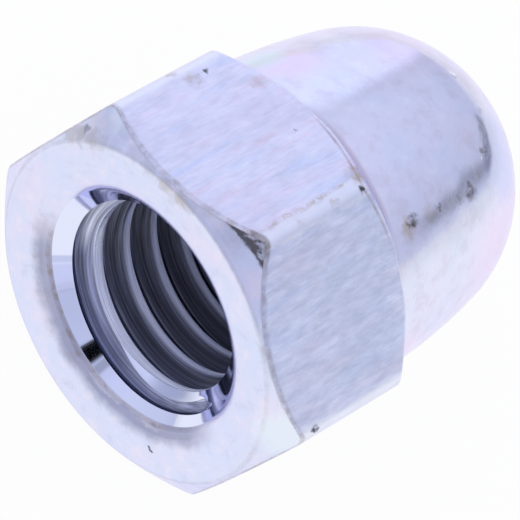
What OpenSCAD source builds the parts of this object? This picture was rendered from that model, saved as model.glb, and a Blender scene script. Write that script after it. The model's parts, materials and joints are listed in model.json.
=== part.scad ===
// Domed cap nut, turned from drawn hexagon bar. It lies on one flat with its
// axis level: the bearing face looks towards -Y and the dome towards +Y.
// Millimetres, with the origin on the axis in the plane of the bearing face.

/* [Hexagon] */
// Width across the flats
across_flats = 8; // [7.8:0.05:8.3]
// Diameter to which the long edges are rounded off
edge_d = 9.18; // [9.1:0.01:9.22]
// Length from the bearing face to the shoulder
hex_len = 4; // [3.6:0.1:4.4]
// Diameter of the flat bearing face
seat_d = 7.79; // [7.3:0.01:7.9]
// Slope of the front chamfer away from the bearing face
front_slope = 40.7; // [20:0.1:45]
// Diameter at which the rear chamfer leaves the shoulder
shoulder_d = 8.05; // [7.7:0.01:8.4]
// Slope of the rear chamfer away from the shoulder
rear_slope = 41.8; // [20:0.1:45]

/* [Dome] */
// Length of the whole nut
nut_len = 10; // [9.8:0.05:10.3]
// Greatest diameter of the dome
dome_d = 7.42; // [7.2:0.01:7.5]
// Height above the shoulder at which the dome is widest
belly_height = 0.46; // [0.2:0.02:0.8]
// Radius of the side's slow curve
side_r = 14; // [12:0.5:20]
// Radius of the turn from the side into the crown
turn_r = 3.25; // [2.8:0.05:3.3]
// Radius of the crown over the tip
crown_r = 5.5; // [4.8:0.1:6.5]

/* [Threaded hole] */
// Diameter of the hole's wall, at the crests of the thread
crest_d = 4.3; // [4.1:0.01:4.35]
// Depth of the straight wall below the bearing face
wall_depth = 7.5; // [6.8:0.1:7.6]
// Full angle of the hole's pointed end
point_angle = 118; // [110:1:130]
// Diameter at which the countersink would meet the bearing face
mouth_d = 5.92; // [5.6:0.02:6.2]
// Full angle of the countersink
mouth_angle = 90; // [80:1:110]
// Radius that rounds the lip of the mouth
lip_r = 0.85; // [0.4:0.01:1]

/* [Hidden] */
$fn = 128;

half_share = 0.5;
// How far a cutting shape runs past the face that it cuts
overrun_share = 0.125;
overrun = across_flats * overrun_share;
// How far a rounding arc stands proud, so that it crosses its neighbours
proud_share = 0.002;

// Hexagon: height at which each chamfer reaches the rounded long edge
edge_r = edge_d * half_share;
seat_r = seat_d * half_share;
shoulder_r = shoulder_d * half_share;
front_edge = (edge_r - seat_r) * tan(front_slope);
rear_edge = hex_len - (edge_r - shoulder_r) * tan(rear_slope);

// Dome: centres of the side, crown and turn arcs, the turn touching the others
side_c = [dome_d * half_share - side_r, hex_len + belly_height];
crown_c = [0, nut_len - crown_r];
gap = crown_c - side_c;
span = norm(gap);
side_reach = side_r - turn_r;
crown_reach = crown_r - turn_r;
along = (side_reach * side_reach - crown_reach * crown_reach + span * span) / (span + span);
across = sqrt(side_reach * side_reach - along * along);
ahead = gap / span;
turn_c = side_c + along * ahead + across * [-ahead.y, ahead.x];
touch_z = side_c.y + (turn_c.y - side_c.y) * side_r / side_reach;
touch_r = turn_c.x * crown_r / crown_reach;

// Hole: radii and depths along its section
crest_r = crest_d * half_share;
mouth_r = mouth_d * half_share;
flank = mouth_angle * half_share;
cone_depth = (mouth_r - crest_r) / tan(flank);
point_depth = wall_depth + crest_r / tan(point_angle * half_share);
lip_run = lip_r * tan((90 - flank) * half_share);
lip_face = mouth_r + lip_run;
lip_cone = [mouth_r - lip_run * sin(flank), lip_run * cos(flank)];

// Round disc about a centre
module disc(centre, radius) {
  translate(centre) circle(r = radius);
}

// Bar with both ends chamfered and its long edges rounded off
module hexagon() {
  intersection() {
    linear_extrude(hex_len) circle(d = across_flats / cos(30), $fn = 6);
    rotate_extrude()
      polygon([[0, 0], [seat_r, 0], [edge_r, front_edge], [edge_r, rear_edge],
               [shoulder_r, hex_len], [0, hex_len]]);
  }
}

// Dome on the shoulder: slow side, turn and crown, all in one section
module dome() {
  foot = hex_len - overrun;
  rotate_extrude()
    intersection() {
      disc(side_c, side_r);
      disc(crown_c, crown_r);
      union() {
        translate([0, foot]) square([dome_d, touch_z - foot]);
        translate([0, foot]) square([touch_r, nut_len]);
        disc(turn_c, turn_r * (1 + proud_share));
      }
      translate([0, foot]) square([dome_d, nut_len]);
    }
}

// Blind hole with its pointed end, countersink and rounded lip
module hole() {
  rotate_extrude()
    difference() {
      polygon([[0, -overrun], [lip_face, -overrun], [lip_face, 0], lip_cone,
               [crest_r, cone_depth], [crest_r, wall_depth], [0, point_depth]]);
      disc([lip_face, lip_r], lip_r * (1 + proud_share));
    }
}

module cap_nut() {
  color([0.80, 0.82, 0.90])
    rotate([-90, 0, 0])
      difference() {
        union() {
          hexagon();
          dome();
        }
        hole();
      }
}

cap_nut();
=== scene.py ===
# Domed cap nut in bright zinc: the real thread, the eased edges and the finish
import json
import math

import bpy
import numpy as np
from mathutils import Matrix, Vector


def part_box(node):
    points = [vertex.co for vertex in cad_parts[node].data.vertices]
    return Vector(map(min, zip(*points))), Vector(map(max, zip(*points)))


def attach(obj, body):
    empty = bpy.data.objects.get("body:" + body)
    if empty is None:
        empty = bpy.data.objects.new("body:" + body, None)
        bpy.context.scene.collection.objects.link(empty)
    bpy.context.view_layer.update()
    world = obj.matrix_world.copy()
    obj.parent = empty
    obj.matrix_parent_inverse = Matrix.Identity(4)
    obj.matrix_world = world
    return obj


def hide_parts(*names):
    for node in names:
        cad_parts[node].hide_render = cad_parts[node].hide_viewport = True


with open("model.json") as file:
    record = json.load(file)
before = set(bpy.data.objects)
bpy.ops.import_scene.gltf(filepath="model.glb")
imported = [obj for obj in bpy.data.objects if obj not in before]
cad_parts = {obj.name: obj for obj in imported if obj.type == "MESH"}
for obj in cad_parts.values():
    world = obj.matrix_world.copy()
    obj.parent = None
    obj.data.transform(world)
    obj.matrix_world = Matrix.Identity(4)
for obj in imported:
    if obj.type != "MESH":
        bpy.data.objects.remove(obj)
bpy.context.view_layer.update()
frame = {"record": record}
mm = 0.001
low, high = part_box("cap_nut")
mounts = {mount["name"]: mount for mount in frame["record"]["mounts"]}
print("frame loaded, across flats", round((high.z - low.z) / mm, 3), "mm")


def sine(degrees):
    return math.sin(math.radians(degrees))


def cosine(degrees):
    return math.cos(math.radians(degrees))


def tangent(degrees):
    return math.tan(math.radians(degrees))


def direction(azimuth, elevation):
    # azimuth from +Y towards +X
    return (sine(azimuth) * cosine(elevation), cosine(azimuth) * cosine(elevation), sine(elevation))


def addObject(name, data):
    made = bpy.data.objects.new(name, data)
    bpy.context.scene.collection.objects.link(made)
    return made


# Camera: turned about the nut as the photo sees it
shot = {
    "azimuth": 34.107,  # from -Y towards +X
    "elevation": 45.394,
    "roll": 16.604,
    "aim": (-0.041, 4.022, -0.776),  # mm
    "distance": 106.919,  # mm
    "sensor": 36.0,
    "focalPixels": 5000,
    "imagePixels": 520,
    "clipStart": 0.005,  # metres
    "clipEnd": 10,
}


def makeCamera():
    back = Vector(direction(180 - shot["azimuth"], shot["elevation"]))
    level = Vector((0, 0, 1)).cross(back).normalized()
    upright = back.cross(level)
    right = level * cosine(shot["roll"]) + upright * sine(shot["roll"])
    up = back.cross(right)
    data = bpy.data.cameras.new("camera")
    data.sensor_width = shot["sensor"]
    data.lens = shot["sensor"] * shot["focalPixels"] / shot["imagePixels"]
    data.clip_start = shot["clipStart"]
    data.clip_end = shot["clipEnd"]
    camera = addObject("camera", data)
    camera.matrix_world = Matrix((right, up, back)).transposed().to_4x4()
    camera.location = (Vector(shot["aim"]) + back * shot["distance"]) * mm
    bpy.context.scene.camera = camera


makeCamera()
print("camera set")


# Outside of the nut, in mm: radius from the axis and depth behind the bearing face
body = {
    "flatRadius": high.z / mm,
    "length": high.y / mm,
    "hexLength": 4.0,
    "halfFlat": 30,  # degrees from the middle of a flat to a long edge
    "edgeRounding": 0.34,  # long edges of the drawn bar
    "seatRadius": 3.895,
    "frontSlope": 40.7,
    "shoulderRadius": 4.025,
    "rearSlope": 41.8,
    "leastBevel": 0.03,  # what the rear chamfer leaves in the middle of a flat
    "bellyRadius": 3.71,
    "bellyHeight": 0.46,
    "sideRadius": 14.0,
    "turnRadius": 3.25,
    "crownRadius": 5.5,
    # radii that ease the seat, both ends of the flats, the shoulder and the dome's root
    "eases": (0.12, 0.10, 0.10, 0.06, 0.07),
    "easeLimit": 0.45,  # how much of a neighbour's length an ease may take up
    # columns round the nut, and points along each stretch of a column
    "edgeColumns": 5,
    "flatColumns": 12,
    "easeSteps": 5,
    "faceFill": 3,
    "flatFill": 9,
    "bevelFill": 2,
    "sideSteps": 14,
    "turnSteps": 24,
    "crownSteps": 5,
    "sharpFrom": 30,  # edges that turn more than this are left crisp
    "flatWeight": 80,  # how far large faces lead the shading
}

# Hole: plain sizes first, then the thread cut into its wall
bore = {
    "crestRadius": mounts["thread"]["dims"]["r_mm"],
    "wallDepth": 7.5,
    "pointAngle": 118,
    "pointRings": (0.35, 0.7, 0.92),  # shares of the way from the wall to the tip
    "mouthRadius": 2.96,
    "mouthSlope": 45,
    "lipRadius": 0.85,
    "lipSteps": 14,
    "pitch": 0.8,
    "rootRadius": 2.52,
    "rootFlat": 0.1,
    "flankAngle": 30,
    "threadEase": 0.035,
    "easeSteps": 4,
    "flankFill": 3,
    "grooveStart": 0.905,  # depth of the groove's middle at the top of the hole
    "fade": (6.0, 6.9),  # depths over which the thread runs out
    "firstGroove": -1,  # turn whose groove opens into the countersink
    "runInFrom": 185,  # angles over which it is pushed in
    "runInTo": 125,
    "runInShift": 0.11,
    "runInNear": (0.3, 0.5),  # shares of a pitch from its middle over which the push ends
    "runInFade": (98, 128),  # angles over which it fades out
}


def edgeArc():
    # centre of a long edge's rounding, and the angle off the edge at which it meets the flat
    rounding, half = body["edgeRounding"], body["halfFlat"]
    centre = (body["flatRadius"] - rounding) / cosine(half)
    return centre, math.atan2(rounding * sine(half), centre + rounding * cosine(half))


def hexReach(angle):
    # distance from the axis to the bar's skin, long edges rounded
    centre, meets = edgeArc()
    half = body["halfFlat"]
    across = (angle + half) % (2 * half) - half
    offEdge = math.radians(half - abs(across))
    if offEdge < meets:
        aside = centre * math.sin(offEdge)
        return centre * math.cos(offEdge) + math.sqrt(body["edgeRounding"]**2 - aside**2)
    return body["flatRadius"] / cosine(across)


def columnAngles():
    # close together at the long edges, wider on the flats
    half = body["halfFlat"]
    meets = math.degrees(edgeArc()[1])
    edge = np.linspace(0, meets, body["edgeColumns"])
    flat = np.linspace(meets, half, body["flatColumns"])
    side = np.concatenate([edge, flat[1:]])
    offsets = np.unique(np.concatenate([side, -side]).round(6))
    return np.concatenate([half + 2 * half * k + offsets[:-1] for k in range(6)])


def arc(centre, radius, start, end, count):
    turns = np.radians(np.linspace(start, end, count))
    return [np.array((centre[0] + radius * math.cos(t), centre[1] + radius * math.sin(t))) for t in turns]


def easeCorner(before, corner, after, ease, steps):
    # points of the arc that rounds one corner of a section
    back, ahead = before - corner, after - corner
    backLength, aheadLength = np.linalg.norm(back), np.linalg.norm(ahead)
    back, ahead = back / backLength, ahead / aheadLength
    half = math.acos(np.clip(np.dot(back, ahead), -1, 1)) / 2
    run = min(ease / math.tan(half), body["easeLimit"] * min(backLength, aheadLength))
    radius = run * math.tan(half)
    middle = back + ahead
    centre = corner + middle / np.linalg.norm(middle) * radius / math.sin(half)
    first = (corner + back * run - centre) / radius
    last = (corner + ahead * run - centre) / radius
    sweep = math.pi - 2 * half
    return [
        centre + radius * (math.sin((1 - s) * sweep) * first + math.sin(s * sweep) * last) / math.sin(sweep)
        for s in np.linspace(0, 1, steps)
    ]


def fill(start, end, count):
    # points strictly between two others
    return [start + (end - start) * k / (count + 1) for k in range(1, count + 1)]


def domeArcs():
    # slow side, turn and crown, each touching the next
    side = np.array((body["bellyRadius"] - body["sideRadius"], body["hexLength"] + body["bellyHeight"]))
    crown = np.array((0.0, body["length"] - body["crownRadius"]))
    gap = crown - side
    span = np.linalg.norm(gap)
    sideReach = body["sideRadius"] - body["turnRadius"]
    crownReach = body["crownRadius"] - body["turnRadius"]
    along = (sideReach**2 - crownReach**2 + span**2) / (2 * span)
    across = math.sqrt(sideReach**2 - along**2)
    ahead = gap / span
    turn = side + along * ahead + across * np.array((-ahead[1], ahead[0]))
    sideEnd = math.degrees(math.atan2(turn[1] - side[1], turn[0] - side[0]))
    crownStart = math.degrees(math.atan2(turn[1] - crown[1], turn[0] - crown[0]))
    rootTurn = -math.degrees(math.asin(body["bellyHeight"] / body["sideRadius"]))
    sidePoints = arc(side, body["sideRadius"], rootTurn, sideEnd, body["sideSteps"])
    turnPoints = arc(turn, body["turnRadius"], sideEnd, crownStart, body["turnSteps"])
    crownPoints = arc(crown, body["crownRadius"], crownStart, 90, body["crownSteps"])
    return sidePoints + turnPoints[1:] + crownPoints[1:-1]


def lipArc():
    # rounded lip from the countersink out to the bearing face
    turn = 90 - bore["mouthSlope"]
    run = bore["lipRadius"] * tangent(turn / 2)
    centre = (bore["mouthRadius"] + run, bore["lipRadius"])
    return arc(centre, bore["lipRadius"], -90 - turn, -90, bore["lipSteps"])


def outsideSection(reach, lipPoints, domePoints):
    # one column of the skin from lip to tip, with the finish of each stretch
    seat = np.array((body["seatRadius"], 0.0))
    frontEdge = np.array((reach, (reach - seat[0]) * tangent(body["frontSlope"])))
    shoulderRadius = min(body["shoulderRadius"], reach - body["leastBevel"])
    fall = (reach - shoulderRadius) * tangent(body["rearSlope"])
    rearEdge = np.array((reach, body["hexLength"] - fall))
    shoulder = np.array((shoulderRadius, body["hexLength"]))
    corners = [lipPoints[-1], seat, frontEdge, rearEdge, shoulder, *domePoints[:2]]
    seatArc, frontArc, rearArc, shoulderArc, rootArc = [
        easeCorner(*corners[k:k + 3], ease, body["easeSteps"]) for k, ease in enumerate(body["eases"])
    ]
    faceRing = fill(lipPoints[-1], seatArc[0], body["faceFill"])
    chamfer = fill(seatArc[-1], frontArc[0], body["faceFill"])
    flat = fill(frontArc[-1], rearArc[0], body["flatFill"])
    bevel = fill(rearArc[-1], shoulderArc[0], body["bevelFill"])
    stretches = [
        ("face", lipPoints + faceRing + seatArc + chamfer),
        ("flats", frontArc + flat + rearArc),
        ("dome", bevel + shoulderArc + rootArc + domePoints[1:]),
    ]
    points = [point for _, stretch in stretches for point in stretch]
    zones = [zone for zone, stretch in stretches for _ in stretch]
    return points, zones


def threadSection():
    # one pitch of the thread from groove middle to groove middle: depth and radius
    root, crest, pitch = bore["rootRadius"], bore["crestRadius"], bore["pitch"]
    half = bore["rootFlat"] / 2
    mouth = half + (root - crest) * tangent(bore["flankAngle"])
    depths = (0, half, mouth, pitch - mouth, pitch - half, pitch)
    radii = (root, root, crest, crest, root, root)
    corners = [np.array(corner, float) for corner in zip(depths, radii)]
    arcs = [
        easeCorner(*three, bore["threadEase"], bore["easeSteps"])
        for three in zip(corners, corners[1:], corners[2:])
    ]
    points = [corners[0]]
    for rounded, following in zip(arcs, arcs[1:]):
        points += rounded + fill(rounded[-1], following[0], bore["flankFill"])
    return points + arcs[-1]


def softStep(start, end, value):
    share = min(max((value - start) / (end - start), 0), 1)
    return share * share * (3 - 2 * share)


class Skin:
    # collects points and faces, dropping corners that fall together
    def __init__(self):
        self.points = []
        self.faces = []
        self.zones = []

    def point(self, radius, depth, angle):
        self.points.append((radius * sine(angle) * mm, depth * mm, radius * cosine(angle) * mm))
        return len(self.points) - 1

    def face(self, corners, zone):
        kept = [c for k, c in enumerate(corners) if c != corners[k - 1]]
        if len(set(kept)) > 2:
            self.faces.append(kept)
            self.zones.append(zone)


def skinOutside(skin, angles):
    lipPoints, domePoints = lipArc(), domeArcs()
    columns = []
    for angle in angles:
        points, zones = outsideSection(hexReach(angle), lipPoints, domePoints)
        columns.append([skin.point(p[0], p[1], angle) for p in points])
    tip = skin.point(0, body["length"], 0)
    for left, right in zip(columns, columns[1:] + columns[:1]):
        for k in range(len(left) - 1):
            skin.face((left[k], right[k], right[k + 1], left[k + 1]), zones[k])
        skin.face((left[-1], right[-1], tip), "dome")
    return [column[0] for column in columns]


def runIn(angle, fromMiddle):
    # near its start the first groove keeps to the countersink, then fades out: its shift and its share
    early = (bore["runInFrom"] - angle) / (bore["runInFrom"] - bore["runInTo"])
    whole, none = [share * bore["pitch"] for share in bore["runInNear"]]
    near = 1 - softStep(whole, none, abs(fromMiddle))
    shift = bore["runInShift"] * min(max(early, 0), 1)**2 * near
    return shift, softStep(*bore["runInFade"], angle)


def coneRadius(depth):
    return bore["mouthRadius"] - depth * tangent(bore["mouthSlope"])


def boreColumn(angle, section, turns):
    # depths and radii down the wall, with a point just where countersink and thread meet
    crest, pitch = bore["crestRadius"], bore["pitch"]
    rows = []
    for turn in turns:
        for offset, radius in section:
            depth = bore["grooveStart"] + pitch * (turn + angle / 360) + offset
            nextGroove = offset > pitch / 2
            present = 1
            if turn + nextGroove == bore["firstGroove"]:
                shift, present = runIn(angle, offset - pitch * nextGroove)
                depth += shift
            left = present * (1 - softStep(*bore["fade"], depth))
            rows.append((depth, crest + (radius - crest) * left))
    gaps = [cut - coneRadius(depth) for depth, cut in rows]
    for k in range(len(rows) - 1):
        if gaps[k] * gaps[k + 1] < 0:
            share = gaps[k] / (gaps[k] - gaps[k + 1])
            meet = rows[k][0] + share * (rows[k + 1][0] - rows[k][0])
            rows[k + 1] = (meet, coneRadius(meet))
    return [(depth, max(cut, coneRadius(depth))) for depth, cut in rows]


def skinBore(skin, angles, topRing):
    top, bottom = lipArc()[0][1], bore["wallDepth"]
    crest, pitch = bore["crestRadius"], bore["pitch"]
    section = threadSection()
    rows = len(section)
    firstTurn = math.floor((top - bore["grooveStart"]) / pitch) - 1
    lastTurn = math.ceil((bottom - bore["grooveStart"]) / pitch) + 1
    bottomRing = [skin.point(crest, bottom, angle) for angle in angles]
    columns = []
    for place, angle in enumerate(angles):
        column = []
        for depth, radius in boreColumn(angle, section, range(firstTurn, lastTurn)):
            if depth <= top:
                column.append(topRing[place])
            elif depth >= bottom:
                column.append(bottomRing[place])
            else:
                column.append(skin.point(radius, depth, angle))
        columns.append(column)
    # after one turn the first column comes again, a pitch deeper
    columns.append(columns[0][rows:] + [bottomRing[0]] * rows)
    for left, right in zip(columns, columns[1:]):
        for k in range(len(left) - 1):
            skin.face((left[k], left[k + 1], right[k + 1], right[k]), "bore")
    pointDepth = bottom + crest / tangent(bore["pointAngle"] / 2)
    rings = [bottomRing]
    for share in bore["pointRings"]:
        depth = bottom + (pointDepth - bottom) * share
        rings.append([skin.point(crest * (1 - share), depth, angle) for angle in angles])
    end = skin.point(0, pointDepth, 0)
    for upper, lower in zip(rings, rings[1:]):
        for k in range(len(angles)):
            skin.face((upper[k - 1], lower[k - 1], lower[k], upper[k]), "bore")
    for k in range(len(angles)):
        skin.face((rings[-1][k - 1], end, rings[-1][k]), "bore")


def makeNut():
    angles = columnAngles()
    skin = Skin()
    topRing = skinOutside(skin, angles)
    skinBore(skin, angles, topRing)
    mesh = bpy.data.meshes.new("capNut")
    mesh.from_pydata(skin.points, [], skin.faces)
    piece = addObject("capNut", mesh)
    names = ["face", "flats", "dome", "bore"]
    mesh.polygons.foreach_set("material_index", [names.index(zone) for zone in skin.zones])
    mesh.polygons.foreach_set("use_smooth", [True] * len(mesh.polygons))
    mesh.update()
    mesh.set_sharp_from_angle(angle=math.radians(body["sharpFrom"]))
    weigh = piece.modifiers.new("flatFacesLead", "WEIGHTED_NORMAL")
    weigh.weight = body["flatWeight"]
    weigh.keep_sharp = True
    return piece


nut = makeNut()
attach(nut, "root")
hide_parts("cap_nut")
print("nut made,", sum(len(p.vertices) - 2 for p in nut.data.polygons), "triangles")


def overloads(operation):
    # an operator between wires or numbers as a Math node, and its reflected form
    def plain(self, other):
        return self.maths(operation, self, other)

    def reflected(self, other):
        return self.maths(operation, other, self)

    return plain, reflected


class Wire:
    # one socket of a node tree; sums on it add Math nodes
    def __init__(self, tree, socket=None):
        self.tree = tree
        self.socket = socket

    def node(self, kind, settings=None, sockets=None, output=0):
        made = self.tree.nodes.new(kind)
        for name, value in (settings or {}).items():
            setattr(made, name, value)
        for name, value in (sockets or {}).items():
            if isinstance(value, Wire):
                self.tree.links.new(value.socket, made.inputs[name])
            else:
                made.inputs[name].default_value = value
        return Wire(self.tree, made.outputs[output]) if len(made.outputs) else made

    def maths(self, operation, first, second=0.0):
        return self.node("ShaderNodeMath", {"operation": operation}, {0: first, 1: second})

    __add__, __radd__ = overloads("ADD")
    __sub__, __rsub__ = overloads("SUBTRACT")
    __mul__, __rmul__ = overloads("MULTIPLY")
    __truediv__, __rtruediv__ = overloads("DIVIDE")
    __pow__, __rpow__ = overloads("POWER")


def emptyTree(owner):
    # cleared node tree of a material or world, as a wire to build from
    owner.use_nodes = True
    owner.node_tree.nodes.clear()
    return Wire(owner.node_tree)


def rgba(colour):
    return colour if isinstance(colour, Wire) else (*colour, 1.0)


def ramp(value, start, end):
    # 0 at start, 1 at end, soft between; start may be the larger
    return value.node(
        "ShaderNodeMapRange",
        {"interpolation_type": "SMOOTHSTEP"},
        {"Value": value, "From Min": start, "From Max": end, "To Min": 0.0, "To Max": 1.0},
    )


def band(value, start, full, fading, end):
    # 0 up to start and from end on, 1 from full to fading
    return ramp(value, start, full) * ramp(value, end, fading)


def between(share, least, most):
    return share * (most - least) + least


def mixColour(share, first, second, blend="MIX"):
    wire = share if isinstance(share, Wire) else second
    settings = {"data_type": "RGBA", "blend_type": blend}
    return wire.node("ShaderNodeMix", settings, {0: share, 6: rgba(first), 7: rgba(second)}, 2)


def shade(colour, level):
    # a colour made darker or lighter all through
    grey = level.node("ShaderNodeCombineXYZ", None, {0: level, 1: level, 2: level})
    return mixColour(1.0, colour, grey, "MULTIPLY")


def vectorMaths(operation, first, second, output=0):
    return first.node("ShaderNodeVectorMath", {"operation": operation}, {0: first, 1: second}, output)


def dot(first, second):
    return vectorMaths("DOT_PRODUCT", first, second, "Value")


def larger(first, second):
    return first.maths("MAXIMUM", first, second)


def smaller(first, second):
    return first.maths("MINIMUM", first, second)


noiseMiddle = 0.5


def grain(place, stretch, detail, rough):
    # noise about its middle, with its own count of grains per mm along each axis
    scaled = vectorMaths("MULTIPLY", place, stretch)
    sockets = {"Vector": scaled, "Scale": 1.0, "Detail": detail, "Roughness": rough}
    return place.node("ShaderNodeTexNoise", {"noise_dimensions": "3D"}, sockets)


def grains(place, table):
    return {name: grain(place, *row) for name, row in table.items()}


def swing(noise, reach):
    # noise about 0, half the reach to each side
    return (noise - noiseMiddle) * reach


# Bright zinc with a blue passivate, as linear colours
zinc = {
    "plain": (0.78, 0.80, 0.97),
    "pink": (0.84, 0.77, 0.94),
    "blue": (0.71, 0.79, 1.0),
    # pale colour for wear, and for painted sheen and highlights
    "wornAndSheen": (0.88, 0.91, 1.0),
    "grey": (0.56, 0.58, 0.72),
    "grime": (0.32, 0.29, 0.30),
    "brown": (0.46, 0.37, 0.30),
    "dirt": (0.030, 0.026, 0.026),
    # white for flecks on the dome and for a painted highlight on the thread
    "fleckAndHighlight": (0.97, 0.97, 0.98),
    "edgeTint": (0.93, 0.90, 1.0),  # what the finish mirrors at a glance
}

# How spots and dirt lie on it
spots = {
    "ragged": (0.175, 5.0, 3.0),  # how far their edges wander, mm, how often and how finely
    "core": 0.35,  # share of a spot's size that is full
    "soilRough": 0.3,
    "soilDull": 0.7,  # how much less metallic dirt is
}


class Finish:
    # one zone's material while it is being built up, coat by coat
    def __init__(self, name, rough):
        self.material = bpy.data.materials.new(name)
        start = emptyTree(self.material)
        metres = start.node("ShaderNodeTexCoord", output="Object")
        self.place = vectorMaths("MULTIPLY", metres, (1 / mm,) * 3)
        axes = [start.node("ShaderNodeSeparateXYZ", None, {0: self.place}, k) for k in range(3)]
        self.x, self.depth, self.z = axes
        self.radius = (self.x * self.x + self.z * self.z) ** 0.5
        self.colour = zinc["plain"]
        self.rough = rough
        self.metal = 1.0
        self.bumps = []

    def combine(self, x, y, z):
        return self.place.node("ShaderNodeCombineXYZ", None, {0: x, 1: y, 2: z})

    def wander(self, reach, scale, detail):
        # the same place, shifted a little by slow noise so that no line runs dead straight
        sockets = {"Vector": self.place, "Scale": scale, "Detail": detail}
        noise = self.place.node("ShaderNodeTexNoise", None, sockets, "Color")
        aside = vectorMaths("SUBTRACT", noise, (noiseMiddle,) * 3)
        return vectorMaths("ADD", self.place, vectorMaths("MULTIPLY", aside, (2 * reach,) * 3))

    def tint(self, mask, colour):
        self.colour = mixColour(mask, self.colour, colour)

    def coat(self, mask, strength, colour):
        self.tint(mask * strength, colour)

    def brokenCoat(self, mask, flaws, least, most, colour):
        # a coat whose strength goes from least to most with the flaws
        self.tint(mask * between(flaws, least, most), colour)

    def coats(self, noises, rows):
        # one coat for each row: noise, its level where the coat starts and is full, strength, colour
        for name, start, full, strength, colour in rows:
            self.coat(ramp(noises[name], start, full), strength, colour)

    def emboss(self, noises, depths):
        self.bumps = [(noises[name], depth) for name, depth in depths.items()]

    def patches(self, rows):
        # soft ragged spots: x, depth, z, size, strength
        ragged = self.wander(*spots["ragged"])
        total = None
        for x, depth, z, size, strength in rows:
            away = vectorMaths("DISTANCE", ragged, (x, depth, z), "Value")
            spot = ramp(away, size, size * spots["core"]) * strength
            total = larger(total, spot) if total else spot
        return total

    def soil(self, mask, colour):
        # dirt lies on the metal, dull and dark
        self.tint(mask, colour)
        self.rough = self.rough + mask * spots["soilRough"]
        self.metal = self.metal - mask * spots["soilDull"]

    def build(self):
        sockets = {"Base Color": rgba(self.colour), "Roughness": self.rough, "Metallic": self.metal}
        sockets["Specular Tint"] = rgba(zinc["edgeTint"])
        below = {}
        for height, depth in self.bumps:
            bump = {"Strength": 1.0, "Distance": depth * mm, "Height": height} | below
            below = {"Normal": self.place.node("ShaderNodeBump", None, bump)}
        shader = self.place.node("ShaderNodeBsdfPrincipled", None, sockets | below)
        self.place.node("ShaderNodeOutputMaterial", None, {"Surface": shader})
        return self.material

    def across(self, angle):
        # distance from the axis towards an angle about it
        return dot(self.place, (sine(angle), 0, cosine(angle)))

    def toward(self, angle):
        # 1 on the side of the axis that the angle names, -1 across from it
        return self.across(angle) / self.radius

    def arcMask(self, middle, half, soft):
        # 1 within so many degrees of an angle about the axis, soft at both ends
        return ramp(self.toward(middle), cosine(half + soft), cosine(half - soft))

    def hexReaches(self):
        # largest and smallest reach towards the three pairs of flats
        ways = [self.across(angle) for angle in (0, 60, 120)]
        first, second, third = [way.maths("ABSOLUTE", way) for way in ways]
        return larger(larger(first, second), third), smaller(smaller(first, second), third)

    def flatGap(self):
        # how far a point lies inside the nearest flat
        return body["flatRadius"] - self.hexReaches()[0]

    def cornerGap(self):
        # and how far inside the flat beside that one
        most, least = self.hexReaches()
        return body["flatRadius"] - (most - least)

    def frontGap(self):
        return self.depth - (self.radius - body["seatRadius"]) * tangent(body["frontSlope"])

    def rearGap(self):
        fall = (self.radius - body["shoulderRadius"]) * tangent(body["rearSlope"])
        return body["hexLength"] - self.depth - fall


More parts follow.
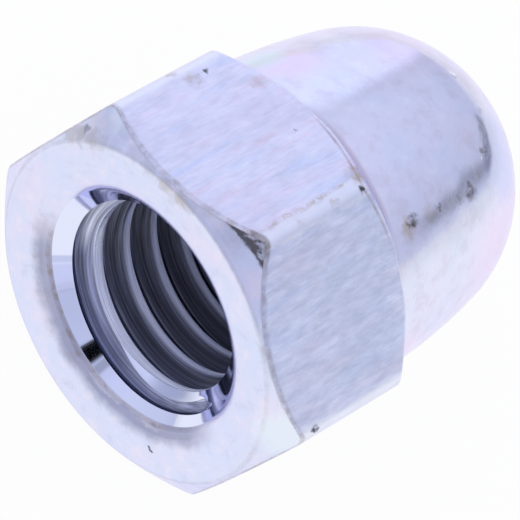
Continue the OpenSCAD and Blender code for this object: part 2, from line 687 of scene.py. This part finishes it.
# A coat below has its strength, or the least and most of it, and its colour
flats = {
    "rough": 0.30,
    "colour": (0.80, 0.81, 0.985),
    "sway": (0.04, 0.9, 2.0),  # how far the drawn lines wander, mm, how often and how finely
    # noises along the drawn lines, and plain ones: grains per mm on each axis, detail, roughness
    "drawn": {
        "broad": ((3.0, 0.45, 3.0), 4.0, 0.6),
        "fine": ((17.0, 0.8, 17.0), 3.0, 0.6),
        "strokes": ((7.5, 2.2, 7.5), 3.0, 0.5),
        "marks": ((12.0, 4.0, 12.0), 4.0, 0.65),
        "smear": ((1.9, 0.9, 1.9), 4.0, 0.65),
    },
    "plain": {
        "cloud": ((0.7, 0.5, 0.7), 3.0, 0.55),
        "chips": ((4.0, 1.8, 4.0), 3.0, 0.55),
        "flaws": ((3.5, 3.5, 3.5), 4.0, 0.7),
    },
    "coats": [
        ("broad", 0.50, 0.66, 0.9, (0.83, 0.76, 0.93)),
        ("broad", 0.48, 0.32, 0.9, (0.70, 0.77, 1.0)),
        ("cloud", 0.48, 0.66, 0.6, (0.81, 0.755, 0.92)),
        ("cloud", 0.46, 0.30, 0.5, (0.72, 0.76, 0.97)),
        ("strokes", 0.55, 0.72, 0.3, zinc["wornAndSheen"]),
        ("strokes", 0.45, 0.28, 0.15, zinc["grey"]),
        ("fine", 0.52, 0.36, 0.12, zinc["grey"]),
    ],
    "uneven": {"strokes": 0.13, "marks": 0.14, "smear": 0.34},
    "broken": (0.40, 0.62),  # levels of the flaws that break up grime and smudges
    # painted reflection of the darker horizon on one flat: darker and bluer, with pale painted streaks and
    # stronger unevenness
    "shadedFlat": 60,
    "shadedReach": (3.9, 3.98),
    "shadedStrokes": (0.62, 0.40),
    "dullCoat": (0.42, 0.54, (0.50, 0.58, 0.82)),
    "sheenMarks": (0.60, 0.74),
    "sheenMarksCoat": (0.25, zinc["wornAndSheen"]),
    "shadedUneven": 1.4,
    # long edges made paler, partly wear and partly a painted highlight: gap from the next flat
    "edgeGap": (0.28, 0.12),
    "edgeChips": 0.3,
    "edgeWearAndHighlight": (0.7, zinc["wornAndSheen"]),
    "edgeRough": 0.04,
    # rubbed line beside one long edge
    "rubbedSide": 26.3,
    "rubbedReach": (0.9945, 0.998),
    "rubbedGap": (0.16, 0.21, 0.25, 0.30),
    "rubbedChips": 0.25,
    "rubbedCoat": (0.8, (0.60, 0.55, 0.50)),
    # grime along both chamfers
    "frontGap": (0.13, 0.04),
    "frontChips": 0.10,
    "frontCoat": (0.20, 0.55, zinc["grime"]),
    "rearGap": (0.05, 0.08, 0.11, 0.15),
    "rearReach": (0.90, 0.985),
    "rearElsewhere": 0.1,
    "rearCoat": (0.35, 0.75, (0.44, 0.36, 0.42)),
    # dark tip beside the scraped corner
    "tipSide": 30,
    "tipReach": (0.9955, 0.999),
    "tipGap": (0.17, 0.06),
    "tipShare": (0.6, 0.9),
    "tipColour": (0.15, 0.125, 0.125),
    "smudgeCoat": (0.4, 1.0, zinc["brown"]),
    "smudges": [
        (-1.88, 2.50, 4.0, 0.30, 0.50),
        (-2.30, 2.20, 3.98, 0.18, 0.50),
        (-1.10, 3.62, 4.0, 0.30, 0.40),
        (1.98, 3.50, 4.0, 0.34, 0.55),
        (2.30, 2.60, 4.0, 0.16, 0.45),
        (2.32, 1.60, 4.0, 0.14, 0.40),
    ],
    "specks": [
        (-1.95, 2.89, 4.0, 0.085, 0.85),
        (2.34, 3.37, 3.94, 0.11, 0.95),
        (4.54, 0.95, 0.13, 0.14, 0.9),
        (0.35, 3.30, 4.0, 0.08, 0.5),
    ],
    "fineRough": 0.16,
    "bumps": {"broad": 0.006, "strokes": 0.003, "fine": 0.0014},  # mm
}


def flatsFinish():
    finish = Finish("drawnFlats", flats["rough"])
    drawn = finish.wander(*flats["sway"])
    noises = grains(drawn, flats["drawn"]) | grains(finish.place, flats["plain"])
    chips = noises["chips"]
    broken = ramp(noises["flaws"], *flats["broken"])
    cornerGap, frontGap = finish.cornerGap(), finish.frontGap()
    finish.colour = flats["colour"]
    finish.coats(noises, flats["coats"])
    # painted reflection on one flat: darker and bluer, with pale painted streaks and stronger unevenness
    dull = ramp(finish.across(flats["shadedFlat"]), *flats["shadedReach"])
    finish.brokenCoat(dull, ramp(noises["strokes"], *flats["shadedStrokes"]), *flats["dullCoat"])
    finish.coat(dull * ramp(noises["marks"], *flats["sheenMarks"]), *flats["sheenMarksCoat"])
    uneven = sum(swing(noises[name], reach) for name, reach in flats["uneven"].items())
    finish.colour = shade(finish.colour, uneven * between(dull, 1, flats["shadedUneven"]) + 1)
    # long edges made paler: partly wear, partly a painted highlight
    edge = ramp(cornerGap + swing(chips, flats["edgeChips"]), *flats["edgeGap"])
    finish.coat(edge, *flats["edgeWearAndHighlight"])
    nearLine = finish.toward(flats["rubbedSide"])
    rubbed = band(cornerGap + swing(chips, flats["rubbedChips"]), *flats["rubbedGap"])
    rubbed = rubbed * ramp(nearLine, *flats["rubbedReach"])
    finish.coat(rubbed * broken, *flats["rubbedCoat"])
    frontLine = ramp(frontGap + swing(chips, flats["frontChips"]), *flats["frontGap"])
    finish.brokenCoat(frontLine, broken, *flats["frontCoat"])
    rearLine = band(finish.rearGap(), *flats["rearGap"])
    rearLine = rearLine * between(ramp(nearLine, *flats["rearReach"]), flats["rearElsewhere"], 1)
    finish.brokenCoat(rearLine, broken, *flats["rearCoat"])
    finish.brokenCoat(finish.patches(flats["smudges"]), broken, *flats["smudgeCoat"])
    tip = ramp(frontGap, *flats["tipGap"]) * ramp(finish.toward(flats["tipSide"]), *flats["tipReach"])
    finish.soil(tip * between(broken, *flats["tipShare"]), flats["tipColour"])
    finish.soil(finish.patches(flats["specks"]), zinc["dirt"])
    finish.rough = finish.rough + swing(noises["fine"], flats["fineRough"]) + edge * flats["edgeRough"]
    finish.emboss(noises, flats["bumps"])
    return finish.build()


front = {
    "rough": 0.26,
    "colour": (0.74, 0.78, 0.985),
    # grains per mm on each axis, detail, roughness
    "plain": {
        "cloud": ((0.8, 0.8, 0.8), 4.0, 0.6),
        "mottle": ((2.2, 2.2, 2.2), 5.0, 0.65),
        "flaws": ((3.0, 3.0, 3.0), 4.0, 0.7),
        "filmAndReflection": ((1.8, 1.8, 1.8), 5.0, 0.65),
        "stains": ((3.2, 3.2, 3.2), 4.0, 0.65),
        "bars": ((3.0, 9.0, 5.0), 3.0, 0.6),
    },
    "rings": ((12.0, 12.0, 12.0), 3.0, 0.6),
    "ringDrift": (0.02, 0.0, 0.02),  # what keeps the turned rings from being perfect
    "scour": ((20.0, 20.0, 1.0), 3.0, 0.6),
    "coats": [
        ("cloud", 0.47, 0.66, 0.7, (0.82, 0.775, 0.97)),
        ("cloud", 0.47, 0.32, 0.6, (0.69, 0.77, 1.0)),
        ("mottle", 0.52, 0.68, 0.7, (0.87, 0.82, 0.97)),
        ("mottle", 0.47, 0.30, 0.6, (0.64, 0.67, 0.88)),
        ("rings", 0.5, 0.7, 0.15, zinc["wornAndSheen"]),
    ],
    # levels at which these start and are full
    "levels": {
        "flaws": (0.36, 0.62),
        "filmAndReflection": (0.28, 0.66),
        "stains": (0.48, 0.66),
        "bars": (0.42, 0.60),
        "scour": (0.35, 0.65),
    },
    # grime along the flats and round the seat
    "lineGap": (0.07, 0.02),
    "lineSway": 0.03,
    "lineCoat": (0.25, 0.65, zinc["grime"]),
    "seatEdge": (3.84, 3.90, 3.93, 3.99),
    "seatShare": 0.35,
    # darker film in the rounded lip, thickest on its dirty side: partly dirt, partly a painted reflection
    # of darker surroundings
    "lip": (3.25, 2.87),
    "lipSway": 0.14,
    "dirtySide": -165,
    "dirtyReach": (0.05, 0.5),
    "filmShare": (0.75, 0.95),
    "filmElsewhere": 0.05,
    "filmColour": (0.45, 0.46, 0.61),
    "filmRough": (-0.08, 0.25),
    # arcs by their middle, half width and softness in degrees
    "stainArc": (-125, 38, 14),
    "stainCoat": (0.2, (0.42, 0.36, 0.38)),
    "lowArc": (176, 22, 8),
    "lowRim": (2.86, 2.78),
    "lowCoat": (0.5, (0.86, 0.84, 0.92)),
    "seamArc": (-160, 62, 16),
    "seamRim": (2.70, 2.74, 2.78, 2.82),
    "seamSway": 0.06,
    "seamCoat": (0.25, 0.75, (0.34, 0.30, 0.32)),
    # the corner whose tip is scraped dark
    "tipSide": 30,
    "tipReach": (0.95, 0.975),
    "tipRadius": (4.27, 4.33),
    "tipLean": 0.11,
    "tipSway": 0.05,
    "tipShare": (0.95, 0.40),
    "tipColour": (0.055, 0.05, 0.06),
    "paleColour": (0.84, 0.92, 1.0),
    "pale": [
        (4.3, 0.3, 0.1, 0.9, 0.7),
        (-1.95, 0.46, 3.98, 0.45, 0.6),
    ],
    "dullCoat": (0.8, (0.50, 0.50, 0.57)),
    "dull": [
        (3.45, 0.18, 2.03, 0.30, 0.6),
        (-0.9, 0.2, 4.0, 0.35, 0.4),
        (0.9, 0.2, 4.0, 0.35, 0.5),
        (-2.2, 0.2, 3.5, 0.60, 0.25),
        (-2.81, 0.14, 2.93, 0.32, 0.80),
        (-2.56, 0.12, 3.12, 0.32, 1.0),
        (-2.21, 0.08, 3.32, 0.30, 0.85),
        (-1.96, 0.06, 3.43, 0.28, 0.50),
        (-1.62, 0.06, 3.62, 0.26, 0.25),
        (-1.6, 0.30, 3.92, 0.30, 0.30),
        (-1.1, 0.12, 3.90, 0.30, 0.40),
        (-0.6, 0.06, 3.93, 0.30, 0.55),
        (-0.1, 0.02, 3.90, 0.30, 0.65),
        (0.4, 0.02, 3.88, 0.30, 0.65),
        (0.65, 0.03, 3.90, 0.28, 0.60),
    ],
    "beigeCoat": (0.5, 1.0, (0.53, 0.50, 0.49)),
    "beige": [
        (-0.07, 0.0, 3.84, 0.24, 0.65),
        (0.15, 0.0, 3.80, 0.20, 0.45),
        (0.39, 0.0, 3.80, 0.26, 0.65),
        (0.20, 0.0, 3.66, 0.16, 0.35),
    ],
    "dirt": [
        (-2.51, 0.20, 3.28, 0.12, 0.40),
        (1.37, 0.0, -2.99, 0.09, 0.9),
    ],
    "ringRough": 0.06,
    "bumps": {"rings": 0.0006, "cloud": 0.006},  # mm
}


def frontFinish():
    finish = Finish("turnedFront", front["rough"])
    place, radius = finish.place, finish.radius
    ringPlace = finish.combine(radius, finish.depth, 0.0)
    drift = vectorMaths("MULTIPLY", place, front["ringDrift"])
    noises = grains(place, front["plain"])
    noises["rings"] = grain(vectorMaths("ADD", ringPlace, drift), *front["rings"])
    noises["scour"] = grain(ringPlace, *front["scour"])
    masks = [ramp(noises[name], *levels) for name, levels in front["levels"].items()]
    broken, filmAndReflection, stains, bars, scour = masks
    finish.colour = front["colour"]
    finish.coats(noises, front["coats"])
    seatEdge = band(radius, *front["seatEdge"]) * front["seatShare"]
    line = larger(ramp(finish.flatGap() + swing(broken, front["lineSway"]), *front["lineGap"]), seatEdge)
    finish.brokenCoat(line, broken, *front["lineCoat"])
    wornAndSheen = radius + swing(filmAndReflection, front["lipSway"])
    lip = ramp(wornAndSheen, *front["lip"])
    dirty = ramp(finish.toward(front["dirtySide"]), *front["dirtyReach"])
    filmed = dirty * between(scour, *front["filmShare"]) + front["filmElsewhere"]
    # darker lip: partly dirt, partly a painted reflection
    finish.tint(lip * filmed, front["filmColour"])
    finish.coat(lip * finish.arcMask(*front["stainArc"]) * stains, *front["stainCoat"])
    low = ramp(wornAndSheen, *front["lowRim"]) * finish.arcMask(*front["lowArc"])
    finish.coat(low, *front["lowCoat"])
    seam = band(radius + swing(filmAndReflection, front["seamSway"]), *front["seamRim"])
    seam = seam * finish.arcMask(*front["seamArc"])
    finish.brokenCoat(seam, stains, *front["seamCoat"])
    finish.tint(finish.patches(front["pale"]), front["paleColour"])
    finish.coat(finish.patches(front["dull"]), *front["dullCoat"])
    finish.brokenCoat(finish.patches(front["beige"]), stains, *front["beigeCoat"])
    lean = finish.across(front["tipSide"] + 90) * front["tipLean"]
    tip = ramp(radius - lean + swing(filmAndReflection, front["tipSway"]), *front["tipRadius"])
    tip = tip * ramp(finish.toward(front["tipSide"]), *front["tipReach"])
    finish.soil(tip * between(bars, *front["tipShare"]), front["tipColour"])
    finish.soil(finish.patches(front["dirt"]), zinc["dirt"])
    finish.rough = finish.rough + lip * between(dirty, *front["filmRough"])
    finish.rough = finish.rough + swing(noises["rings"], front["ringRough"])
    finish.emboss(noises, front["bumps"])
    return finish.build()


dome = {
    "rough": 0.16,
    # grains per mm on each axis, detail, roughness
    "plain": {
        "cloud": ((0.8, 0.8, 0.8), 4.0, 0.6),
        "blotch": ((2.0, 2.0, 2.0), 5.0, 0.65),
        "peel": ((7.0, 7.0, 7.0), 3.0, 0.6),
        "flaws": ((4.0, 4.0, 4.0), 4.0, 0.7),
        "swell": ((0.8, 0.8, 0.8), 1.0, 0.5),
    },
    "coats": [
        ("cloud", 0.5, 0.66, 0.4, zinc["blue"]),
        ("cloud", 0.48, 0.32, 0.4, zinc["pink"]),
        ("blotch", 0.48, 0.68, 0.45, (0.67, 0.64, 0.76)),
        ("blotch", 0.46, 0.30, 0.45, zinc["wornAndSheen"]),
    ],
    "broken": (0.30, 0.55),
    # shade where the dome leaves the shoulder, strongest on one side
    "rootDepth": (4.38, 4.26),
    "rootSide": 25,
    "rootReach": (0.90, 0.985),
    "rootElsewhere": 0.2,
    "rootCoat": (0.6, (0.52, 0.42, 0.53)),
    "pinkColour": (0.94, 0.78, 0.96),
    "pink": [
        (-1.53, 5.17, 3.36, 0.95, 0.6),
        (-0.6, 7.6, 3.2, 1.2, 0.35),
        (3.22, 7.76, 0.61, 1.6, 0.5),
        (3.6, 4.6, -0.6, 0.8, 0.5),
    ],
    "blueColour": (0.62, 0.68, 0.98),
    "blue": [
        (2.42, 8.16, 2.0, 1.0, 0.6),
        (2.0, 8.4, 2.27, 0.8, 0.5),
    ],
    "cyanColour": (0.72, 0.92, 1.0),
    "cyan": [
        (-2.1, 5.0, 3.0, 0.7, 0.6),
    ],
    "beigeCoat": (0.4, 1.0, (0.58, 0.50, 0.42)),
    "beige": [
        (2.80, 4.75, 2.42, 0.30, 0.7),
        (2.78, 5.45, 2.40, 0.30, 0.3),
    ],
    "dirtShare": (0.3, 1.0),
    # spots along an arc: partly dirt, partly a painted reflection of a dark edge
    "dirt": [
        (2.77, 4.91, 2.46, 0.22, 0.95),
        (2.77, 5.76, 2.38, 0.15, 0.85),
        (2.74, 6.10, 2.31, 0.16, 0.55),
        (2.72, 6.40, 2.29, 0.22, 0.60),
        (2.68, 6.81, 2.25, 0.30, 0.80),
        (2.50, 7.21, 2.32, 0.18, 0.45),
        (2.17, 7.67, 2.52, 0.22, 0.75),
        (1.98, 7.85, 2.60, 0.16, 0.50),
        (1.80, 7.95, 2.70, 0.20, 0.45),
        (1.41, 8.20, 2.75, 0.14, 0.35),
        (0.50, 8.24, 3.06, 0.14, 0.50),
    ],
    "flecks": [
        (0.46, 8.28, 3.04, 0.15, 1.0),
        (2.25, 7.51, 2.47, 0.10, 1.0),
    ],
    "blotchRough": 0.10,
    "bumps": {"swell": 0.03, "blotch": 0.003, "peel": 0.0007},  # mm
}


def domeFinish():
    finish = Finish("turnedDome", dome["rough"])
    noises = grains(finish.place, dome["plain"])
    broken = ramp(noises["flaws"], *dome["broken"])
    finish.coats(noises, dome["coats"])
    for name in ("pink", "blue", "cyan"):
        finish.tint(finish.patches(dome[name]), dome[name + "Colour"])
    root = ramp(finish.depth, *dome["rootDepth"])
    nearSide = ramp(finish.toward(dome["rootSide"]), *dome["rootReach"])
    root = root * between(nearSide, dome["rootElsewhere"], 1)
    finish.coat(root, *dome["rootCoat"])
    finish.brokenCoat(finish.patches(dome["beige"]), broken, *dome["beigeCoat"])
    # dark arc: partly dirt, partly a painted reflection of a dark edge
    finish.soil(finish.patches(dome["dirt"]) * between(broken, *dome["dirtShare"]), zinc["dirt"])
    finish.soil(finish.patches(dome["flecks"]), zinc["fleckAndHighlight"])
    finish.rough = finish.rough + swing(noises["blotch"], dome["blotchRough"])
    finish.emboss(noises, dome["bumps"])
    return finish.build()


thread = {
    "coneRough": 0.07,
    "wallRough": 0.38,
    "topPolish": 0.9,  # how far the top of the first ridge is as smooth as the countersink
    "landDull": 0.6,  # and how far the land is not
    "wallMetal": 0.85,
    "ridgeDull": 0.7,  # how much less metallic the ridges are
    "topDull": 0.1,
    # colours of the countersink and of the reflections painted on it
    "cone": (0.76, 0.80, 0.98),
    "filmAndReflection": (0.72, 0.76, 0.97),
    "soft": (0.56, 0.60, 0.90),
    "shadow": (0.54, 0.59, 0.84),
    # painted shadow on the land
    "dim": (0.40, 0.44, 0.62),
    # and of the thread, with painted light on the crests and painted shade in the grooves
    "firstRoot": (0.18, 0.20, 0.33),
    "firstFlank": (0.62, 0.67, 1.0),
    "firstCrest": (0.76, 0.80, 1.0),
    "litCrest": (0.80, 0.84, 1.0),
    "crest": (0.73, 0.77, 1.0),
    "root": (0.14, 0.15, 0.22),
    "line": (0.20, 0.22, 0.34),  # dark line on the first ridge's front corner, a painted shade over its highlight
    "drilled": (0.34, 0.36, 0.45),  # plain wall and point below the thread
    # arcs about the axis by their middle, half width and softness in degrees
    "filmAndReflectionArc": (-148, 32, 9),
    "softArc": (-117, 7, 2),
    "shadowArc": (-107.5, 1.9, 0.8),
    "landArc": (-170, 45, 12),
    "dimArc": (151, 13, 10),
    "topArc": (-72, 24, 14),  # where the first ridge catches the light
    "bottomArc": (163, 22, 10),
    # radii and depths, mm
    "onCone": (0.006, 0.002),
    "landRadius": (2.47, 2.40),
    "dimRadius": (2.47, 2.36),
    "firstRidge": (1.50, 1.25),
    "nearRidges": (3.8, 0.9),
    # shares of a pitch, from groove middle to groove middle
    "litRise": (0.08, 0.18),
    "flankRise": (0.16, 0.23),
    "crestRise": (0.27, 0.33),
    "darkRise": (0.295, 0.625),
    "flankToCrest": (0.255, 0.355),
    "cornerShade": (0.265, 0.285, 0.315, 0.335),
    "crestBand": (0.305, 0.345, 0.695, 0.725),
    "crestHighlight": (0.635, 0.665),
    "crestEnd": (0.725, 0.695),
    "behind": (0.695, 0.745, 0.85, 0.99),
    "grooveLine": (0.12, 0.03),
    # strengths of these
    "flankShare": 0.32,
    "crestShare": 0.68,
    "litShare": 0.45,
    "litTint": 0.8,
    "bottomShare": 0.4,
    "grooveLevel": (0.45, 0.90),
    "firstGrooveLess": 0.3,
    "grooveLineMore": 2.2,
    "behindLess": 0.6,
    "cornerShadeShare": 0.8,
    "crestHighlightShare": 0.35,
    "dimShare": 0.7,
    # cutting lines along the helix: noise, drift, levels, and least and gain from groove to crest
    "lines": ((6.0, 6.0, 20.0), 4.0, 0.65),
    "lineDrift": (0.04, 0.04, 0.04),
    "lineLevels": (0.32, 0.68),
    "lineLeast": (0.48, 0.68),
    "lineGain": (1.0, 0.6),
    # rings in the drilled end
    "rings": ((14.0, 14.0, 14.0), 3.0, 0.6),
    "ringLevels": (0.3, 0.7),
    "ringShare": (0.75, 1.25),
    "tilt": 0.15,  # how far the crests are dressed towards the mouth, mm
    "lineDepth": 0.006,
}


def boreFinish():
    finish = Finish("cutThread", thread["wallRough"])
    place, depth, radius = finish.place, finish.depth, finish.radius
    # share runs through one pitch, and ridge is the depth of the crest there
    angle = finish.x.maths("ARCTAN2", finish.x, finish.z)
    phase = (depth - bore["grooveStart"]) * (2 * math.pi / bore["pitch"]) - angle
    around, along = phase.maths("COSINE", phase), phase.maths("SINE", phase)
    turns = phase / (2 * math.pi)
    share = turns.maths("FRACT", turns)
    ridge = depth - (share - 0.5) * bore["pitch"]
    drift = vectorMaths("MULTIPLY", place, thread["lineDrift"])
    lines = grain(vectorMaths("ADD", finish.combine(around, along, radius), drift), *thread["lines"])
    cone = ramp(radius + depth * tangent(bore["mouthSlope"]) - bore["mouthRadius"], *thread["onCone"])
    drilled = ramp(depth, *bore["fade"])
    first = ramp(ridge, *thread["firstRidge"])
    top = finish.arcMask(*thread["topArc"])
    ends = larger(top, finish.arcMask(*thread["bottomArc"]) * thread["bottomShare"])

    # how light the ridges are painted: painted light on the crests, most on the first ridge, and painted
    # shade towards the grooves
    before = ramp(share, *thread["crestEnd"])
    flank = ramp(share, *thread["flankRise"]) * thread["flankShare"]
    lightRidge = (flank + ramp(share, *thread["crestRise"]) * thread["crestShare"]) * before
    darkRidge = ramp(share, *thread["darkRise"]) * before
    lit = ramp(share, *thread["litRise"]) * ends * (1 - lightRidge) * before
    level = first * (lightRidge + lit * thread["litShare"]) + (1 - first) * darkRidge
    level = level * (1 - drilled)

    # wall: painted shade in the grooves, painted light on the crests, a painted dark line on the first
    # ridge's front corner, cutting lines, a painted highlight on the crests and the drilled end
    litFirstRidge = mixColour(ramp(share, *thread["flankToCrest"]), thread["firstFlank"], thread["firstCrest"])
    litFirstRidge = mixColour(ends * thread["litTint"], litFirstRidge, thread["litCrest"])
    bright = mixColour(first, thread["crest"], litFirstRidge)
    # painted shade in the grooves: darker deeper in, on the first ridge and just behind each crest, lighter
    # at the groove's middle
    groove = between(ramp(ridge, *thread["nearRidges"]), *thread["grooveLevel"])
    groove = groove * (1 - first * thread["firstGrooveLess"])
    groove = groove * between(ramp(share, *thread["grooveLine"]), 1, thread["grooveLineMore"])
    behind = band(share, *thread["behind"]) * (1 - first)
    groove = groove * (1 - behind * thread["behindLess"])
    dark = mixColour(first, thread["root"], thread["firstRoot"])
    wall = mixColour(level, shade(dark, groove), bright)
    # painted shade: dark line on the first ridge's front corner, over its highlight
    cornerShade = band(share, *thread["cornerShade"]) * first
    wall = mixColour(cornerShade * thread["cornerShadeShare"], wall, thread["line"])
    drawn = ramp(lines, *thread["lineLevels"]) * between(level, *thread["lineGain"])
    wall = shade(wall, drawn + between(level, *thread["lineLeast"]))
    # painted highlight along the rear of each crest
    crestHighlight = band(share, *thread["crestBand"]) * ramp(share, *thread["crestHighlight"])
    wall = mixColour(crestHighlight * thread["crestHighlightShare"], wall, zinc["fleckAndHighlight"])
    rings = ramp(grain(finish.combine(radius, depth, 0.0), *thread["rings"]), *thread["ringLevels"])
    wall = mixColour(drilled, wall, shade(thread["drilled"], between(rings, *thread["ringShare"])))

    # countersink: painted reflections, the land beside the first ridge painted as light as that crest, and
    # a painted shadow on the land
    mouth = thread["cone"]
    for name in ("filmAndReflection", "soft", "shadow"):
        mouth = mixColour(finish.arcMask(*thread[name + "Arc"]), mouth, thread[name])
    land = ramp(radius, *thread["landRadius"]) * finish.arcMask(*thread["landArc"])
    mouth = mixColour(land, mouth, thread["firstCrest"])
    # painted shadow on part of the land
    dim = ramp(radius, *thread["dimRadius"]) * finish.arcMask(*thread["dimArc"])
    mouth = mixColour(dim * thread["dimShare"], mouth, thread["dim"])

    finish.colour = mixColour(cone, wall, mouth)
    smooth = larger(cone * (1 - land * thread["landDull"]), top * first * thread["topPolish"])
    finish.rough = between(smooth, thread["wallRough"], thread["coneRough"])
    dulled = level * between(top * first, thread["ridgeDull"], thread["topDull"])
    finish.metal = larger(cone, thread["wallMetal"] - dulled)
    cut = (1 - cone) * (1 - drilled)
    finish.bumps = [((1 - along) * 0.5 * cut, thread["tilt"]), (lines * cut, thread["lineDepth"])]
    return finish.build()


for make in (frontFinish, flatsFinish, domeFinish, boreFinish):
    nut.data.materials.append(make())
print("finishes made")


# Light: a pale tent whose level changes by direction, over a white floor
tent = {
    "tint": (0.93, 0.96, 1.15),
    "wall": 0.68,
    "top": 0.82,
    "topHeight": (0.2, 0.95),  # heights between which wall turns into top
    # azimuth from +Y towards +X, from and to; elevation from and to; softness; change of level
    "panels": [
        (-85, -27, -10, 40, 8, 0.28),
        (-28, -22, -10, 60, 3, -0.06),
        (2, 26, 0.5, 8, 4, -0.42),
        (26, 48, 5.5, 12, 4, -0.38),
        (195, 250, 5, 50, 12, 0.06),
    ],
    # azimuth, elevation, radius and what is left of the level in each dark spot
    "darkSpots": [
        (170, 33, 6.0, 0.0),
        (183, 37, 3.5, 0.6),
    ],
    "spotEdge": (0.7, 1.3),  # shares of its radius between which a spot ends
    "lampAzimuth": 110,
    "lampElevation": 60,
    "lampRadius": 90,  # mm
    "lampDistance": 200,  # mm
    "lampRadiance": 0.9,
    "floorSize": 3.0,  # metres
    "floorGap": 0.005,  # mm below the nut
    "floorPaper": 0.9,
    "floorWhite": 0.95,
    "poolFrom": 14.0,  # mm from the nut
    "poolTo": 60.0,
    "poolEdge": 0.88,
}


def pastAngle(value, edge, softness):
    # soft step at an angle given in degrees
    middle, half = sine(edge), sine(softness) / 2
    return ramp(value, middle - half, middle + half)


def makeTent():
    world = bpy.data.worlds.new("tent")
    bpy.context.scene.world = world
    start = emptyTree(world)
    way = start.node("ShaderNodeTexCoord", output="Generated")
    height = start.node("ShaderNodeSeparateXYZ", None, {0: way}, 2)
    level = between(ramp(height, *tent["topHeight"]), tent["wall"], tent["top"])
    for left, right, bottom, top, softness, change in tent["panels"]:
        afterLeft = pastAngle(dot(way, direction(left + 90, 0)), 0, softness)
        beforeRight = pastAngle(dot(way, direction(right - 90, 0)), 0, softness)
        above = pastAngle(height, bottom, softness)
        below = 1 - pastAngle(height, top, softness)
        level = level + afterLeft * beforeRight * above * below * change
    for azimuth, elevation, radius, left in tent["darkSpots"]:
        inner, outer = [cosine(radius * share) for share in tent["spotEdge"]]
        outside = ramp(dot(way, direction(azimuth, elevation)), inner, outer)
        level = level * between(outside, left, 1)
    light = start.node("ShaderNodeBackground", None, {"Color": rgba(tent["tint"]), "Strength": level})
    start.node("ShaderNodeOutputWorld", None, {"Surface": light})


def makeLamp():
    data = bpy.data.lights.new("softLamp", "AREA")
    data.shape = "DISK"
    data.size = 2 * tent["lampRadius"] * mm
    area = math.pi * (tent["lampRadius"] * mm) ** 2
    data.energy = tent["lampRadiance"] * math.pi * area
    lamp = addObject("softLamp", data)
    way = Vector(direction(tent["lampAzimuth"], tent["lampElevation"]))
    lamp.location = way * tent["lampDistance"] * mm
    lamp.rotation_euler = way.to_track_quat("Z", "Y").to_euler()


def makeFloor():
    half = tent["floorSize"] / 2
    height = low.z - tent["floorGap"] * mm
    mesh = bpy.data.meshes.new("floor")
    corners = [(-half, -half, height), (half, -half, height), (half, half, height), (-half, half, height)]
    mesh.from_pydata(corners, [], [(0, 1, 2, 3)])
    floor = addObject("floor", mesh)
    material = bpy.data.materials.new("floor")
    start = emptyTree(material)
    seen, mirrored, through = [
        start.node("ShaderNodeLightPath", output=ray)
        for ray in ("Is Camera Ray", "Is Glossy Ray", "Is Transmission Ray")
    ]
    shown = larger(larger(seen * tent["floorWhite"], mirrored), through)
    spot = start.node("ShaderNodeTexCoord", output="Object")
    away = vectorMaths("DISTANCE", spot, (0, body["length"] / 2 * mm, height), "Value")
    # painted pool of light: the floor glows brighter near the nut
    pool = ramp(away, tent["poolTo"] * mm, tent["poolFrom"] * mm)
    glow = mixColour(pool, (tent["poolEdge"],) * 3, (1, 1, 1))
    paper = start.node("ShaderNodeBsdfDiffuse", None, {"Color": rgba((tent["floorPaper"],) * 3)})
    white = start.node("ShaderNodeEmission", None, {"Color": glow, "Strength": 1.0})
    surface = start.node("ShaderNodeMixShader", None, {0: shown, 1: paper, 2: white})
    start.node("ShaderNodeOutputMaterial", None, {"Surface": surface})
    mesh.materials.append(material)


makeTent()
makeLamp()
makeFloor()
bpy.context.scene.view_settings.view_transform = "Standard"
print("light and floor set")
